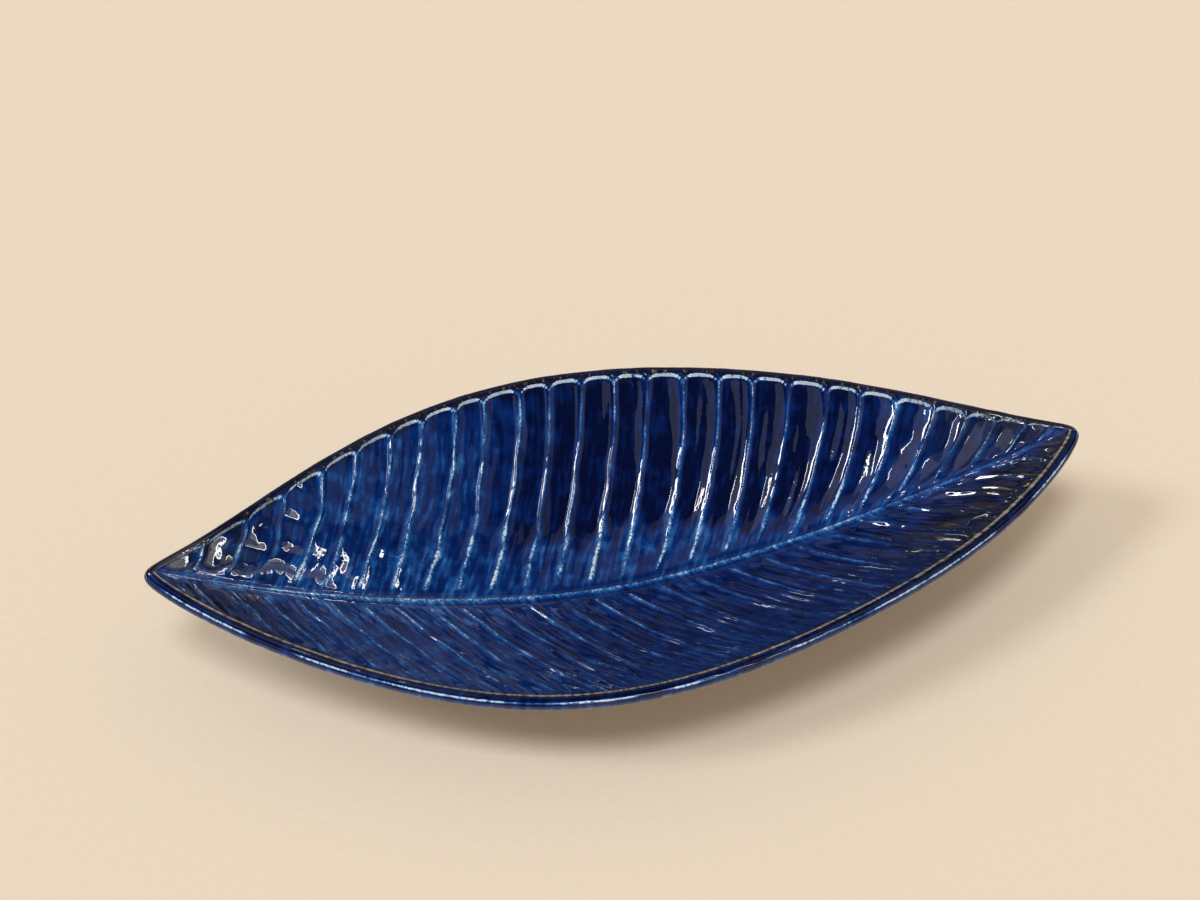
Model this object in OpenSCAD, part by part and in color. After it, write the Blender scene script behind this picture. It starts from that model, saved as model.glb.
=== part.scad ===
// Leaf shaped serving dish: a glazed stoneware leaf on an oval foot ring.
// X runs from the stem tip to the apex, Y across the leaf and Z up from the table.

/* [Leaf] */
// Length from the stem tip to the apex, over the rim
leaf_length = 320; // [260:1:400]
// Width at the widest place, over the rim
leaf_width = 173; // [140:1:220]
// Depth of the midrib's lowest place below the rim's centre line at the tips
leaf_depth = 35; // [25:0.5:45]
// How far the long sides of the rim lie below its tips
rim_dip = 7.7; // [2:0.1:14]
// How much the rim rises on the apex half and sinks on the stem half
rim_lean = 2.4; // [0:0.1:4]

/* [Wall] */
// Thickness of the finished wall with its glaze, measured straight up
wall = 5.6; // [4.8:0.1:8]
// Slope of the wall where it runs into the rounded rim, in degrees
rim_slope = 30; // [20:1:40]

/* [Veins] */
// Number of veins on each side of the midrib
vein_count = 26; // [10:1:30]
// Height of a vein above the flutes beside it
vein_height = 1.2; // [0.3:0.1:1.6]
// How much nearer the apex a middle vein ends than it starts
vein_lean = 30; // [0:1:36]
// Width of the smooth band inside the rim, where the flutes end
rim_band = 4; // [2:0.5:10]

/* [Midrib] */
// Width of the raised midrib
midrib_width = 3; // [1.5:0.1:6]
// Height of the midrib above the floor beside it
midrib_height = 1.2; // [0.4:0.1:2.5]
// Width of the smooth band between the midrib and the veins
midrib_band = 4; // [2:0.5:8]

/* [Foot ring] */
// Length of the foot ring
foot_length = 96; // [85:1:130]
// Width of the foot ring
foot_width = 60; // [45:1:80]
// Width of the foot ring's own wall
foot_wall = 6; // [4:0.5:10]
// Gap between the table and the lowest place of the bare base
base_gap = 3.5; // [1.5:0.1:8]

/* [Glaze] */
// Thickness of each coat of glaze, measured straight up
glaze = 0.6; // [0.3:0.1:1]
// Width of the bare line between the foot ring and the outside glaze
glaze_stop = 1; // [0.5:0.1:4]

/* [Hidden] */
$fn = 96;

// Character of the outline: taper to the tips, bluntness of the tips, widest place towards the stem
taper = 1.15;
blunt = 0.2;
stem_bias = 0.18;
// Character of the rim, keel and bowl curves, and the share of the rim's lean that the keel follows
rim_power = 8;
keel_power = 1.75;
bowl = 0.67;
keel_share = 0.6;
// Character of the veins: closer together towards the stem, and bent where they leave the midrib
vein_crowding = 0.05;
vein_bend = 1.3;
// Narrow columns near the tips keep these shares of their width for the midrib and the two smooth bands
midrib_share = 0.15;
band_share = 0.2;
// A column narrower than this carries lower veins
full_vein_width = 20;

// Rounded rim: its radius, and the angles above the outward direction where the wall runs into it
rim_radius = wall / 2 * cos(rim_slope);
inner_tangent = rim_slope + 90;
outer_tangent = rim_slope - 90;
// Half the length of the rim's centre line, and its height at the tips
half_length = leaf_length / 2 - rim_radius;
tip_z = base_gap + wall - glaze + midrib_height + leaf_depth;

// Columns run along the veins, two to a vein, with closer ones to round the tips
column_count = 2 * (vein_count + 1);
tip_steps = [0.06, 0.25, 0.55];
stations = concat(
    [0], tip_steps,
    [for (k = [1 : column_count - 1]) k],
    [for (k = [len(tip_steps) - 1 : -1 : 0]) column_count - tip_steps[k]],
    [column_count]);
last_station = len(stations) - 1;
// Once round the leaf, [station, side]: stem tip, far side, apex, near side
around = concat(
    [for (k = [0 : last_station]) [stations[k], 1]],
    [for (k = [last_station - 1 : -1 : 1]) [stations[k], -1]]);

// Rows of points from the midrib to the rim's crest, and from there to the foot ring
vein_rows = [0.25, 0.5, 0.75];
inner_rows = 4 + len(vein_rows);
inner_bead = [inner_tangent, 90, inner_tangent / 2, rim_slope];
outer_bead = [rim_slope, 0, outer_tangent / 2, outer_tangent];
outer_rows = [0.2, 0.45, 0.7, 1];
base_rows = [0.5, 0];

// Outline: half-width of the rim's centre line at t, from -1 at the stem tip to 1 at the apex
function leaf_shape(t) =
    let (e = max(0, 1 - t * t))
    ((1 - blunt) * pow(e, taper) + blunt * sqrt(e)) * (1 - stem_bias * t * e * e);
widest_shape = max([for (t = [-0.5 : 0.01 : 0]) leaf_shape(t)]);
function half_width(t) = (leaf_width / 2 - rim_radius) * leaf_shape(t) / widest_shape;

// Heights of the rim's centre line and of the floor beside the midrib
function rim_z(t) = tip_z - rim_dip * (1 - pow(abs(t), rim_power)) + rim_lean * sin(180 * t);
function floor_z(t) =
    tip_z + wall / 2
    - (leaf_depth + midrib_height + wall / 2) * (1 - pow(abs(t), keel_power))
    + keel_share * rim_lean * sin(180 * t);

// Height of the smooth inside at any place: a bowl from the floor up to the rim
function inner_z(x, y) =
    let (t = min(1, max(-1, x / half_length)))
    let (width = half_width(t))
    let (s = abs(y) < width ? abs(y) / width : 1)
    floor_z(t) + (rim_z(t) + wall / 2 - floor_z(t)) * (bowl * s * s + (1 - bowl) * s);

// Direction in plan, [along, across], that points out of the far side's outline
function out_normal(t) =
    abs(t) > 0.9999 ? [sign(t), 0] :
    let (dt = min(0.0005, (1 - abs(t)) / 2))
    let (rise = (half_width(t + dt) - half_width(t - dt)) / (2 * dt * half_length))
    [-rise, 1] / norm([rise, 1]);

// Place of a column at the midrib and, after the vein's lean, at the rim
function midrib_t(station) =
    let (t = 2 * station / column_count - 1)
    t + vein_crowding * (t * t - 1);
function rim_t(station) =
    let (t = midrib_t(station))
    t + vein_lean / half_length * (1 - pow(t, 4));

// Point on the rounded rim at an angle above the outward direction
function bead_point(place, angle, radius) =
    let (t = rim_t(place[0]))
    let (out = out_normal(t) * radius * cos(angle))
    [half_length * t + out[0], place[1] * (half_width(t) + out[1]), rim_z(t) + radius * sin(angle)];
function coat_radius(coat) = rim_radius - coat * cos(rim_slope);

// Distances across a column: midrib crest, midrib foot, end of its band, along the vein, start of the rim's band
function row_reach(row, reach) =
    let (foot = min(midrib_width / 2, midrib_share * reach))
    let (inner = foot + min(midrib_band, band_share * reach))
    let (outer = reach - min(rim_band, band_share * reach))
    row == 0 ? 0 :
    row == 1 ? foot :
    row == 2 ? inner :
    row == inner_rows - 1 ? outer :
    inner + (outer - inner) * vein_rows[row - 3];

// Height of a row above the smooth inside: the crest stands up, the flutes are sunk between the veins
function relief(row, station, reach) =
    row == 0 ? midrib_height * (1 - pow(midrib_t(station), 4)) :
    row < 3 || row == inner_rows - 1 ? 0 :
    -vein_height * abs(sin(90 * station)) * min(1, reach / full_vein_width);

// Point of the inside, a coat's thickness below the finished surface
function inside_point(place, row, coat) =
    let (edge = bead_point(place, inner_tangent, rim_radius))
    let (reach = abs(edge[1]))
    let (start = half_length * midrib_t(place[0]))
    let (y = row_reach(row, reach))
    let (s = reach > 0 ? y / reach : 0)
    let (x = start + (edge[0] - start) * (1 - pow(1 - s, vein_bend)))
    abs(midrib_t(place[0])) == 1 ? bead_point(place, inner_tangent, coat_radius(coat)) :
    [x, y == 0 ? 0 : place[1] * y, inner_z(x, y) + relief(row, place[0], reach) - coat];

// Point where the outside glaze stops beside the foot ring, as a share of the way out from the centre
function stop_point(place, share) =
    let (rim = bead_point(place, outer_tangent, rim_radius))
    let (turn = atan2(rim[1], rim[0]))
    let (radius = foot_width / 2 + glaze_stop)
    let (centre = (foot_length - foot_width) / 2)
    let (on_side = abs(cos(turn)) * radius <= abs(sin(turn)) * centre)
    let (end = centre * abs(cos(turn)) + sqrt(max(0, pow(radius, 2) - pow(centre * sin(turn), 2))))
    let (reach = on_side ? radius / abs(sin(turn)) : end)
    share * reach * [cos(turn), sin(turn)];

// Point of the underside, a coat's thickness above the finished surface
function under_point(plan, coat) = [plan[0], plan[1], inner_z(plan[0], plan[1]) - wall + coat];
function outside_point(place, share, coat) =
    let (rim = bead_point(place, outer_tangent, rim_radius))
    let (stop = stop_point(place, 1))
    under_point([rim[0], rim[1]] * (1 - share) + stop * share, coat);

// Loops of points round the leaf, row by row
function inside_loops(coat) = concat(
    [for (row = [0 : inner_rows - 1]) [for (place = around) inside_point(place, row, coat)]],
    [for (angle = inner_bead) [for (place = around) bead_point(place, angle, coat_radius(coat))]]);
function outside_loops(coat) = concat(
    [for (angle = outer_bead) [for (place = around) bead_point(place, angle, coat_radius(coat))]],
    [for (share = outer_rows) [for (place = around) outside_point(place, share, coat)]]);
function base_loops() =
    [for (share = base_rows) [for (place = around) under_point(stop_point(place, share), glaze)]];
function flipped(loops) = [for (k = [len(loops) - 1 : -1 : 0]) loops[k]];
function without_first(loops) = [for (k = [1 : len(loops) - 1]) loops[k]];

// Closed surface through loops of equally many points. The loops of a coat run out over its finished face and
// back over the clay, where squares are split along the other diagonal, so that coat and clay share their faces.
module skin(loops, coat = false, joined = false) {
    count = len(loops[0]);
    spans = joined ? len(loops) : len(loops) - 1;
    points = [for (loop = loops) each loop];
    faces = [
        for (row = [0 : spans - 1])
        for (k = [0 : count - 1])
        let (next = (k + 1) % count)
        let (a = row * count + k)
        let (b = row * count + next)
        let (c = (row + 1) % len(loops) * count + k)
        let (d = (row + 1) % len(loops) * count + next)
        each coat && row >= len(loops) / 2 ? [[a, c, b], [c, d, b]] : [[a, c, d], [a, d, b]]];
    polyhedron(points, faces, convexity = 6);
}

// Oval with straight sides and round ends
module oval(length, width) {
    for (end = [-1, 1])
        translate([end * (length - width) / 2, 0])
            circle(d = width);
    square([length - width, width], center = true);
}

// Everything above the bare base, out to where the glaze stops
module above_base() {
    lid = 2 * tip_z;
    base = concat([[for (place = around) outside_point(place, 1, glaze)]], base_loops());
    rim = [for (point = base[0]) [point[0], point[1], lid]];
    middle = [for (point = base[0]) [0, 0, lid]];
    skin(concat([middle, rim], base));
}

// Pressed clay leaf with midrib, veins and rounded rim
module stoneware_body() {
    color("burlywood")
        skin(concat(inside_loops(glaze), without_first(outside_loops(glaze)), base_loops()));
}

// Clay ring luted under the base, which the dish stands on
module foot_ring() {
    color("tan")
        difference() {
            linear_extrude(height = tip_z)
                difference() {
                    oval(foot_length, foot_width);
                    oval(foot_length - 2 * foot_wall, foot_width - 2 * foot_wall);
                }
            above_base();
        }
}

// Cobalt glaze over the inside, up to the crest of the rim
module inside_glaze() {
    color("royalblue")
        skin(concat(inside_loops(0), flipped(inside_loops(glaze))), coat = true);
}

// Cobalt glaze from the crest of the rim down the outside to the bare line beside the foot ring
module outside_glaze() {
    color("midnightblue")
        skin(concat(outside_loops(0), flipped(outside_loops(glaze))), coat = true, joined = true);
}

stoneware_body();
foot_ring();
inside_glaze();
outside_glaze();
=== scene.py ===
"""Leaf shaped serving dish: a cobalt glazed stoneware leaf on an oval foot ring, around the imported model."""
import math

import bpy
import numpy as np
from bpy.props import FloatProperty, FloatVectorProperty, IntProperty, PointerProperty
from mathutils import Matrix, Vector


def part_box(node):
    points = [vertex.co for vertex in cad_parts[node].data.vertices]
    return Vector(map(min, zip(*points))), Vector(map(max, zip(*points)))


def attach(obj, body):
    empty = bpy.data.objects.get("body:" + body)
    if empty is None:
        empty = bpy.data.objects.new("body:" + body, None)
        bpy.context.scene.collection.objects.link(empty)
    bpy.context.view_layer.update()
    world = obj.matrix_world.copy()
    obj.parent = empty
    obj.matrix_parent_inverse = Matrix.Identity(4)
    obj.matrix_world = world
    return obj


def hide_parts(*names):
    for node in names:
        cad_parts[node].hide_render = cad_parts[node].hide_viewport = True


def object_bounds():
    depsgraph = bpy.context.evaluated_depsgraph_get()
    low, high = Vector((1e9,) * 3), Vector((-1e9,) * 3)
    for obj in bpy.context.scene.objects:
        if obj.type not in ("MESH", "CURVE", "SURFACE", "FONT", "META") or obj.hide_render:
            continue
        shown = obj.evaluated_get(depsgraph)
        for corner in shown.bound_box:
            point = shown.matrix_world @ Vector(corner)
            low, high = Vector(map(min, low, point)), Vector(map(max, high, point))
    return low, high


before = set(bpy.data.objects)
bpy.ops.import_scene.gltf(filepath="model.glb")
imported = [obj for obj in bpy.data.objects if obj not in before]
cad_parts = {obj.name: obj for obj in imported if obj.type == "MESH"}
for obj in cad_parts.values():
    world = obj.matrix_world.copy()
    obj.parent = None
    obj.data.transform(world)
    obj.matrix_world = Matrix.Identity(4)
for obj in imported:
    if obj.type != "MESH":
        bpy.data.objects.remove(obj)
CAD_LOW, CAD_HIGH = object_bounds()
FOOT_LOW, FOOT_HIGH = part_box("foot_ring")

bl_info = {
    "name": "Leaf Dish",
    "version": (1, 0, 0),
    "blender": (4, 5, 0),
    "location": "View3D > Sidebar > Leaf Dish",
    "description": "Builds the glazed finish of a leaf shaped stoneware dish and its studio",
    "category": "Object",
}

MM = 0.001


def linear(code):
    """An sRGB colour written as #RRGGBB, turned to the linear values that shaders take."""
    parts = [int(code[k:k + 2], 16) / 255 for k in (1, 3, 5)]
    return tuple(c / 12.92 if c <= 0.04045 else ((c + 0.055) / 1.055) ** 2.4 for c in parts)


# Sizes and colours that a user would change

def length(name, description, default):
    """A length in metres."""
    return FloatProperty(name=name, description=description, default=default, unit="LENGTH", min=0.0)


def colour(name, description, code):
    """A colour, given as #RRGGBB."""
    return FloatVectorProperty(name=name, description=description, default=linear(code), size=3,
                               subtype="COLOR", min=0.0, max=1.0)


def strength(name, description, default):
    """Strength of a lamp or brightness of a panel."""
    return FloatProperty(name=name, description=description, default=default, min=0.0)


class LeafSizes(bpy.types.PropertyGroup):
    """Sizes of the leaf, over its finished glaze"""
    leaf_length: length("Length", "From the stem tip to the apex, over the rim", CAD_HIGH.x - CAD_LOW.x)
    leaf_width: length("Width", "At the widest place, over the rim", CAD_HIGH.y - CAD_LOW.y)
    leaf_depth: length("Depth", "From the rim's centre line at the tips down to the midrib's lowest place",
                       0.035)
    rim_dip: length("Rim dip", "How far the long sides of the rim lie below its tips", 0.0077)
    rim_lean: length("Rim lean", "How much the rim rises on the apex half and sinks on the stem half", 0.0024)
    wall: length("Wall", "Thickness of the finished wall, measured straight up", 0.0056)
    glaze: length("Glaze", "Thickness of each coat of glaze, measured straight up", 0.0006)
    base_gap: length("Base gap", "From the table to the lowest place of the bare base", 0.0035)
    foot_length: length("Foot length", "Length of the foot ring", FOOT_HIGH.x - FOOT_LOW.x)
    foot_width: length("Foot width", "Width of the foot ring", FOOT_HIGH.y - FOOT_LOW.y)
    foot_wall: length("Foot wall", "Width of the foot ring's own wall", 0.006)
    glaze_stop: length("Bare line", "Width of the bare line between foot ring and outside glaze", 0.001)


class VeinSizes(bpy.types.PropertyGroup):
    """Sizes of the relief inside the leaf"""
    vein_count: IntProperty(name="Veins", description="Number of veins on each side of the midrib",
                            default=26, min=4)
    vein_lean: length("Lean", "How much nearer the apex a middle vein ends than it starts", 0.030)
    flute_depth: length("Flutes", "Depth of the hollow between two veins", 0.0005)
    ridge_height: length("Ridges", "Height of the narrow cord along each vein", 0.00036)
    ridge_width: length("Ridge width", "Half-width of the cord along each vein", 0.00055)
    fine_height: length("Fine veins", "Height of the fine veins between the main ones", 0.0002)
    midrib_width: length("Midrib width", "Width of the raised midrib", 0.0036)
    midrib_height: length("Midrib height", "Room for the midrib above the floor beside it", 0.0012)
    midrib_rise: length("Midrib rise", "Height of the midrib's rounded cord over its glaze", 0.0008)
    ripple: length("Ripple", "Unevenness of the poured glaze along the veins", 0.00005)
    lumps: length("Lumps", "Unevenness of the thick glaze at the two tips", 0.0002)


class GlazeColours(bpy.types.PropertyGroup):
    """Colours of the glaze by its thickness, and of the clay"""
    pool: colour("Pool", "Thick glaze in the flutes", "#020B30")
    deep: colour("Deep", "Glaze beside the pools", "#041A50")
    body: colour("Body", "Glaze of even thickness", "#072B6A")
    thin: colour("Thin", "Glaze drawn thin over an edge", "#1A5194")
    pale: colour("Pale", "Glaze drawn thinner still", "#5489BA")
    crest: colour("Crest", "Glaze almost bare on the veins", "#CAD9E3")
    # The dark brown below is iron brown in part and a painted dark reflection in part, under the rim and at
    # the tips
    scorch_and_dark_reflection: colour("Scorch", "Dark iron brown of the glaze under the rim and at the tips", "#171514")
    # The paler brown below is partly the glaze's break and partly a painted reflection on the rim's inner edge
    rim: colour("Rim", "Paler brown where the glaze breaks on the rim's inner edge", "#A09786")
    clay: colour("Clay", "Unglazed stoneware", "#B99A73")
    grog: colour("Grog", "Dark grit in the clay", "#7A6046")


class StageLook(bpy.types.PropertyGroup):
    """Floor, light and camera"""
    floor: colour("Floor", "Plain pale floor", "#F2E2CB")
    camera_distance: length("Camera distance", "From the camera to the middle of the leaf's tips", 0.996)
    side_light: strength("Side light", "Strength of the soft light from the left", 0.95)
    front_light: strength("Front light", "Strength of the soft light from the front", 1.25)
    fill_light: strength("Fill light", "Strength of the warm light that fills the shadows", 0.58)
    highlight: strength("Highlight", "Brightness of the two panels that draw the brightest highlights", 30.0)


class LeafDish(bpy.types.PropertyGroup):
    """Everything that shapes and colours the dish"""
    sizes: PointerProperty(type=LeafSizes)
    veins: PointerProperty(type=VeinSizes)
    colours: PointerProperty(type=GlazeColours)
    stage: PointerProperty(type=StageLook)


# Form of the leaf

# Character of the outline: taper to the tips, bluntness of the tips, widest place towards the stem
TAPER, BLUNT, STEM_BIAS = 1.15, 0.2, 0.18
# Character of the rim, keel and bowl curves, and the share of the rim's lean that the keel follows
RIM_POWER, KEEL_POWER, BOWL, KEEL_SHARE = 8, 1.75, 0.67, 0.6
# Character of the veins: closer together towards the stem and bent where they leave the midrib
VEIN_CROWDING, VEIN_BEND = 0.05, 1.3
# How far a vein strays because it was drawn by hand, and how far it sways on its way, in millimetres
VEIN_STRAY, VEIN_SWAY = 0.55, 0.22
# Reach of the wall, in millimetres, that gives the veins' relief and the midrib's grooves their full size,
# and the least share of it that the veins' relief keeps
FULL_REACH, FULL_GROOVE_REACH, LEAST_RELIEF = 24, 12, 0.05
# Half-width of a fine vein in millimetres, and how many times as long as wide the ripples of the glaze are
FINE_WIDTH, RIPPLE_STRETCH = 0.55, 7
# Unevenness of the rounded rim, the least flattening of its shoulder and what comes on top, in millimetres
RIM_UNEVEN, FLAT_LEAST, FLAT_MORE = 0.12, 0.02, 0.12
# Unevenness of the underside in millimetres
UNDER_RIPPLE = 0.06
# Slope of the wall where it runs into the rounded rim
RIM_SLOPE = math.radians(30)
INNER_TANGENT, OUTER_TANGENT = RIM_SLOPE + math.pi / 2, RIM_SLOPE - math.pi / 2
# Direction of the flattened shoulder of the rim, above outwards
SHOULDER = math.radians(35)
# Columns of points between two veins, the bunches that they make there, on a vein and on the two fine veins
# after it, how much closer they lie in a bunch, and how they crowd beside the tips
COLUMNS_PER_VEIN, BUNCHES, BUNCHING, TIP_CROWDING = 18, 3, 0.55, 1.6
# Rows of points across the wall, closer at the midrib and under the rim, and over each half of the rim
WALL_ROWS = np.concatenate([np.linspace(0, 0.075, 10)[:-1], np.linspace(0.075, 0.84, 43)[:-1],
                            np.linspace(0.84, 0.955, 8)[:-1], np.linspace(0.955, 1, 15)])
INNER_BEAD = np.concatenate([np.linspace(INNER_TANGENT, math.radians(60), 6)[:-1],
                             np.radians([60, 53, 46, 38]), [RIM_SLOPE]])
OUTER_BEAD = np.concatenate([[RIM_SLOPE], np.radians([22, 15, 8]), np.linspace(0, OUTER_TANGENT, 7)])
UNDER_ROWS = np.linspace(0, 1, 25)[1:]
BASE_ROWS = np.linspace(1, 0, 9)[1:]
# Rows of the wall where the hidden clay has a row too, and the step between the clay body's columns
CLAY_ROWS = np.r_[0:9:2, 9:51:6, 51, 58, 64, 68, 72]
CLAY_COLUMN_STEP = 2
# Thinness of the glaze, from 0 in a deep pool to 1 almost bare: on the rim, on the lips of the flutes, where
# the glaze's break is pushed paler as a painted highlight, on the shoulder, where a painted highlight is drawn
# as thinner glaze, on the outside, and how much less it is beside the foot ring
RIM_THIN, LIP_BREAK_AND_HIGHLIGHT, SHOULDER_HIGHLIGHT_THIN, OUTSIDE_THIN, FOOT_POOL = 0.08, 1.4, 1.2, 0.56, 0.15
# Radius of the foot ring's lower corners and how far its top is let into the base, in millimetres
FOOT_CORNER, FOOT_SEAT = 1.3, 0.05
# Points round each end of the foot ring, along each straight side and round each lower corner
FOOT_END_POINTS, FOOT_SIDE_POINTS, FOOT_CORNER_POINTS = 49, 21, 7
# Distance in millimetres that sets the veins, or the two sides, apart in a pattern of waves
APART = 40
# Step along half the leaf that slopes are measured over, where a tip counts as reached, and next to nothing
SLOPE_STEP, AT_TIP, TINY = 0.0005, 0.99999, 1e-12
# Decimals of a millimetre to which points agree that are welded
WELD_DECIMALS = 4


def smooth(low, high, x):
    """0 below low, 1 above high, with an even S-curve between."""
    u = np.clip((x - low) / (high - low), 0, 1)
    return u * u * (3 - 2 * u)


def waves(seed, u, v, shortest, longest, count=28):
    """Rippled height of about unit strength: a sum of plane waves of seeded direction, phase and length."""
    draw = np.random.default_rng(seed)
    total = np.zeros(np.broadcast(u, v).shape)
    for _ in range(count):
        turn, phase = draw.uniform(0, 2 * math.pi, 2)
        pitch = math.exp(draw.uniform(math.log(shortest), math.log(longest)))
        total += np.cos(2 * math.pi * (u * math.cos(turn) + v * math.sin(turn)) / pitch + phase)
    return total * math.sqrt(2 / count)


class Leaf:
    """The dish's form in millimetres, on columns that follow the veins once round the leaf."""

    def __init__(self, dish):
        for group in (dish.sizes, dish.veins):
            for key in group.__annotations__:
                value = getattr(group, key)
                setattr(self, key, value / MM if isinstance(value, float) else value)
        self.rim_radius = self.wall / 2 * math.cos(RIM_SLOPE)
        self.half_length = self.leaf_length / 2 - self.rim_radius
        self.tip_z = self.base_gap + self.wall - self.glaze + self.midrib_height + self.leaf_depth
        # The widest place lies between the middle and halfway to the stem
        self.peak = self.leaf_shape(np.linspace(-0.5, 0, 51)).max()
        self.pitch = 2 * self.half_length / (self.vein_count + 1)
        self.set_columns()
        self.set_wall()

    def leaf_shape(self, t):
        """Half-width before scaling: a tapered and a blunt arch mixed, pulled wider towards the stem."""
        e = np.maximum(0, 1 - t * t)
        return ((1 - BLUNT) * e ** TAPER + BLUNT * np.sqrt(e)) * (1 - STEM_BIAS * t * e * e)

    def half_width(self, t):
        """Half-width of the rim's centre line: the leaf's shape, scaled to the width at its widest place."""
        return (self.leaf_width / 2 - self.rim_radius) * self.leaf_shape(t) / self.peak

    def rim_z(self, t):
        """The rim's centre line: level at the tips, dipped between them and leaning up to the apex half."""
        return self.tip_z - self.rim_dip * (1 - np.abs(t) ** RIM_POWER) + self.rim_lean * np.sin(math.pi * t)

    def floor_z(self, t):
        """The floor beside the midrib: a keel that rises to the rim's top at both tips."""
        depth = self.leaf_depth + self.midrib_height + self.wall / 2
        rise = KEEL_SHARE * self.rim_lean * np.sin(math.pi * t)
        return self.tip_z + self.wall / 2 - depth * (1 - np.abs(t) ** KEEL_POWER) + rise

    def inside_z(self, x, y):
        """Smooth inside: from the floor up to the rim, part straight and part bowl across the width."""
        t = np.clip(x / self.half_length, -1, 1)
        width = self.half_width(t)
        s = np.minimum(1, np.abs(y) / np.maximum(width, TINY))
        floor = self.floor_z(t)
        return floor + (self.rim_z(t) + self.wall / 2 - floor) * (BOWL * s * s + (1 - BOWL) * s)

    def out_normal(self, t):
        """Direction in plan that points out of the far side's outline, along and across the leaf."""
        step = np.minimum(SLOPE_STEP, (1 - np.abs(t)) / 2 + TINY)
        rise = (self.half_width(t + step) - self.half_width(t - step)) / (2 * step * self.half_length)
        size = np.hypot(rise, 1)
        tip = np.abs(t) > AT_TIP
        return np.where(tip, np.sign(t), -rise / size), np.where(tip, 0, 1 / size)

    def set_columns(self):
        """Vein number of each column, 0 at the stem tip, and where the column leaves the midrib and ends.

        The far side comes first. Columns are bunched by a sine of their number and crowd at the tips by a
        power. part is the share of the way to the next vein, mid is 0 on a vein and 1 halfway between two,
        and off is the distance to the nearest vein.
        """
        u = np.arange(COLUMNS_PER_VEIN) / COLUMNS_PER_VEIN
        turns = 2 * math.pi * BUNCHES
        bunched = u - BUNCHING * np.sin(turns * u) / turns
        last = self.vein_count + 1
        between = (np.arange(1, self.vein_count)[:, None] + bunched).ravel()
        half = np.concatenate([u ** TIP_CROWDING, between, last - (1 - u) ** TIP_CROWDING, [last]])
        self.vein = np.concatenate([half, half[-2:0:-1]])
        self.side = np.concatenate([np.ones(len(half)), -np.ones(len(half) - 2)])
        self.far = self.side > 0
        self.part = self.vein - np.floor(self.vein)
        self.mid = 2 * np.minimum(self.part, 1 - self.part)
        self.off = self.mid * self.pitch / 2
        q = 2 * self.vein / last - 1
        self.midrib_t = q + VEIN_CROWDING * (q * q - 1)
        self.even_t = self.midrib_t + self.vein_lean / self.half_length * (1 - self.midrib_t ** 4)
        self.rim_t = self.even_t + self.per_vein(11, VEIN_STRAY) / self.half_length

    def set_wall(self):
        """Smooth inside wall on the columns: x, y and z, the distance up from the midrib and left to the rim.

        Each column leaves the midrib, bends over and runs to the rim's inner edge, with a sway of its own.
        slim is how much of its full size the relief has on a short wall.
        """
        self.edge = self.bead(np.array([INNER_TANGENT]), self.rim_t, self.rim_radius)[0]
        self.reach = np.abs(self.edge[:, 1])
        self.slim = np.clip(self.reach / FULL_REACH, LEAST_RELIEF, 1)
        s = WALL_ROWS[:, None]
        self.up = s * self.reach
        self.to_rim = self.reach - self.up
        self.along = self.vein * self.pitch * np.ones_like(s)
        start = self.midrib_t * (self.half_length + self.rim_radius * math.cos(INNER_TANGENT))
        bow = self.per_vein(12, VEIN_STRAY) * np.sin(math.pi * s)
        sway = waves(15, self.along, self.up * self.side, shortest=14, longest=30) * np.sin(math.pi * s)
        self.x = start + (self.edge[:, 0] - start) * (1 - (1 - s) ** VEIN_BEND)
        self.x = self.x + (bow + VEIN_SWAY * sway) * self.slim
        self.y = np.where(self.up == 0, 0, self.up * self.side)
        edge_gap = self.edge[:, 2] - self.inside_z(self.edge[:, 0], self.reach)
        self.z = self.inside_z(self.x, self.y) + edge_gap * smooth(0.6, 1, s)

    def per_vein(self, seed, size):
        """A value of its own for each vein on each side, none at the tips, and evenly changing between."""
        draw = np.random.default_rng(seed).normal(0, size, (2, self.vein_count + 2))
        draw[:, [0, -1]] = 0
        number = np.arange(self.vein_count + 2)
        far, near = (np.interp(self.vein, number, values) for values in draw)
        return np.where(self.far, far, near)

    def per_flute(self, seed, low, high):
        """A value of its own for each flute on each side."""
        draw = np.random.default_rng(seed).uniform(low, high, (2, self.vein_count + 2))
        flute = np.floor(self.vein).astype(int)
        return np.where(self.far, draw[0][flute], draw[1][flute])

    def bead(self, angles, t, radius):
        """Rounded rim: a circle in the plane of the outline's normal. Angles count upwards from outside."""
        along, across = self.out_normal(t)
        out = radius * np.cos(angles)[:, None]
        x = self.half_length * t + along * out
        y = self.side * (self.half_width(t) + across * out)
        z = self.rim_z(t) + radius * np.sin(angles)[:, None]
        return np.stack(np.broadcast_arrays(x, y, z), -1)

    def flutes(self):
        """Shares of the flutes' depth, of the glaze pooled in them and of the lips at their upper ends.

        A flute is flat in the middle and steeper towards the veins, as a power of the distance. It starts in
        a rounded scoop above the floor, given in shares of the wall, and ends in an arch under the rim, given
        in millimetres.
        """
        corner = 1 - self.mid
        floor_end = np.where(self.far, 0.2 - 0.1 * smooth(0, 0.4, self.midrib_t), 0.08)
        scoop = floor_end + self.per_flute(16, low=-0.03, high=0.03) + 0.14 * corner ** 2
        scoop_length = np.where(self.far, 0.13, 0.1)
        grown = smooth(scoop, scoop + scoop_length, WALL_ROWS[:, None])
        arch = (0.5 + 2.6 * corner ** 4) * self.slim
        lip_width = 1.1 * self.slim
        ended = smooth(arch, arch + lip_width, self.to_rim)
        hollow = (1 - corner ** 2.8) * grown * ended
        pools = (1 - corner ** 8) * grown * ended
        lips = np.sqrt(4 * ended * (1 - ended)) * (1 - corner ** 6)
        return hollow, pools, lips

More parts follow.
